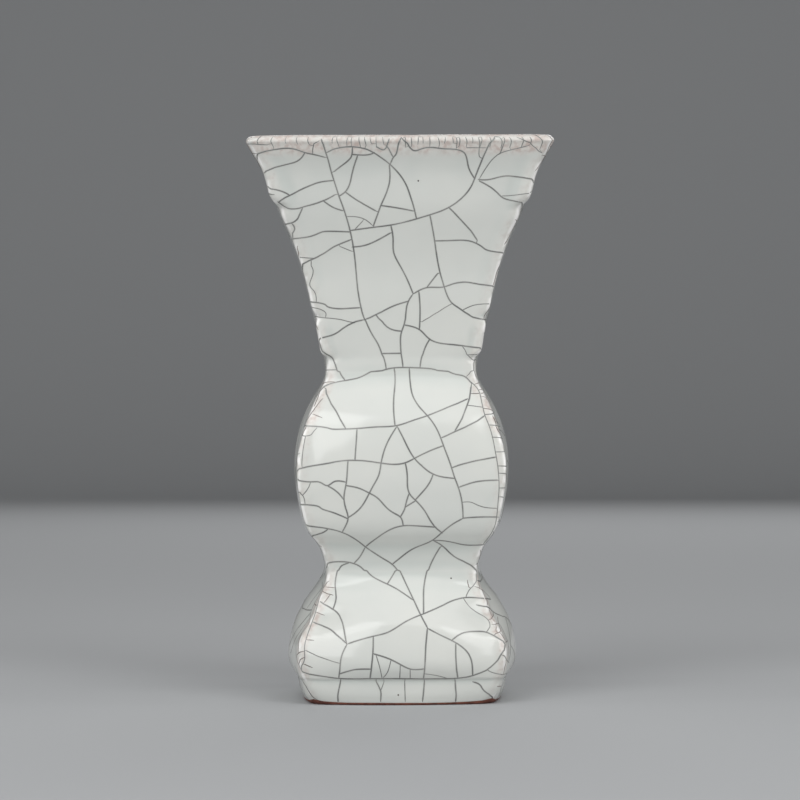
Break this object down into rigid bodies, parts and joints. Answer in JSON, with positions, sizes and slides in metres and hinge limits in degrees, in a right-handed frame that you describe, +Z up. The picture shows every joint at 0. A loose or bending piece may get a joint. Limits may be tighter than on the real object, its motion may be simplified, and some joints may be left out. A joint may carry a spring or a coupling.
{
  "type": "square gu vase",
  "caption": "Tall square vase with a flaring mouth, a cushion-shaped drum, a spreading skirt and a low foot; holds flowers and water or stands as an ornament.",
  "frame": {"origin": "centre of the base, on the plane that the foot stands on", "axes": "+Z up along the vase's axis; -Y is the front face and +X the right face as seen from the front"},
  "size_m": [0.105, 0.105, 0.195],
  "materials": {
    "crackle_glaze": "glossy grey-white glaze with a dark crackle"
  },
  "bodies": {
    "root": {"floor_slab": "crackle_glaze", "foot_wall_front": "crackle_glaze", "foot_wall_right": "crackle_glaze", "foot_wall_back": "crackle_glaze", "foot_wall_left": "crackle_glaze", "skirt_wall_front": "crackle_glaze", "skirt_wall_right": "crackle_glaze", "skirt_wall_back": "crackle_glaze", "skirt_wall_left": "crackle_glaze", "drum_wall_front": "crackle_glaze", "drum_wall_right": "crackle_glaze", "drum_wall_back": "crackle_glaze", "drum_wall_left": "crackle_glaze", "trumpet_wall_front": "crackle_glaze", "trumpet_wall_right": "crackle_glaze", "trumpet_wall_back": "crackle_glaze", "trumpet_wall_left": "crackle_glaze"}
  },
  "joints": []
}
